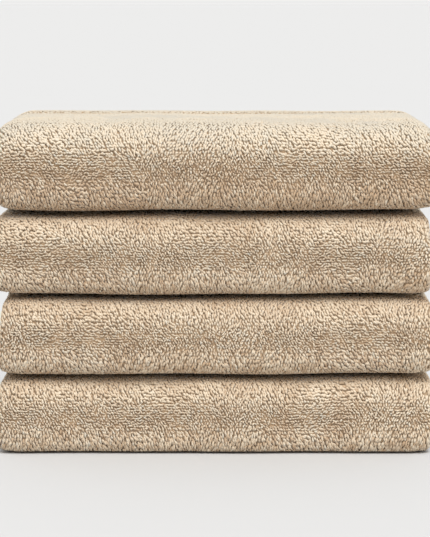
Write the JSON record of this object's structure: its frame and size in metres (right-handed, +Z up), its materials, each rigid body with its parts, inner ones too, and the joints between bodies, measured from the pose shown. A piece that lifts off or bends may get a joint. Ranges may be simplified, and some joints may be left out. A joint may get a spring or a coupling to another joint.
{
  "type": "bath towel set",
  "caption": "Pile of plush sand-coloured terry bath towels, each folded to one smooth full-height front fold, with hemmed ends and flat borders at the back.",
  "frame": {"origin": "middle of the pile's footprint, on the surface it stands on", "axes": "+X along the towels' long sides, -Y towards the front folds, +Z up"},
  "size_m": [0.3545, 0.2449, 0.2672],
  "materials": {
    "terry": "plush looped cotton terry, matt",
    "border_weave": "flat dobby weave, soft sheen",
    "hem_weave": "turned and lock-stitched flat weave, matt",
    "label_tape": "blank satin tape"
  },
  "bodies": {
    "towel_1": {"towel_1_front_fold": "terry", "towel_1_lower_folds": "terry", "towel_1_top_panel": "terry", "towel_1_upper_border": "border_weave", "towel_1_upper_end_terry": "terry", "towel_1_upper_hem": "hem_weave", "towel_1_lower_border": "border_weave", "towel_1_lower_end_terry": "terry", "towel_1_lower_hem": "hem_weave", "towel_1_care_label": "label_tape"},
    "towel_2": {"towel_2_front_fold": "terry", "towel_2_lower_folds": "terry", "towel_2_top_panel": "terry", "towel_2_upper_border": "border_weave", "towel_2_upper_end_terry": "terry", "towel_2_upper_hem": "hem_weave", "towel_2_lower_border": "border_weave", "towel_2_lower_end_terry": "terry", "towel_2_lower_hem": "hem_weave", "towel_2_care_label": "label_tape"},
    "towel_3": {"towel_3_front_fold": "terry", "towel_3_lower_folds": "terry", "towel_3_top_panel": "terry", "towel_3_upper_border": "border_weave", "towel_3_upper_end_terry": "terry", "towel_3_upper_hem": "hem_weave", "towel_3_lower_border": "border_weave", "towel_3_lower_end_terry": "terry", "towel_3_lower_hem": "hem_weave", "towel_3_care_label": "label_tape"},
    "towel_4": {"towel_4_front_fold": "terry", "towel_4_lower_folds": "terry"},
    "towel_4_flap": {"towel_4_top_panel": "terry", "towel_4_upper_border": "border_weave", "towel_4_upper_end_terry": "terry", "towel_4_upper_hem": "hem_weave", "towel_4_lower_border": "border_weave", "towel_4_lower_end_terry": "terry", "towel_4_lower_hem": "hem_weave", "towel_4_care_label": "label_tape"}
  },
  "joints": [
    {"name": "towel_2_lift", "type": "slide", "parent": "towel_1", "child": "towel_2", "axis": [0, 0, 1], "range_m": [0, 0.1]},
    {"name": "towel_3_lift", "type": "slide", "parent": "towel_2", "child": "towel_3", "axis": [0, 0, 1], "range_m": [0, 0.1]},
    {"name": "towel_4_lift", "type": "slide", "parent": "towel_3", "child": "towel_4", "axis": [0, 0, 1], "range_m": [0, 0.1]},
    {"name": "towel_4_flap_open", "type": "hinge", "parent": "towel_4", "child": "towel_4_flap", "pos_m": [0, -0.11611, 0.26158], "axis": [1, 0, 0], "range_deg": [0, 90]}
  ]
}
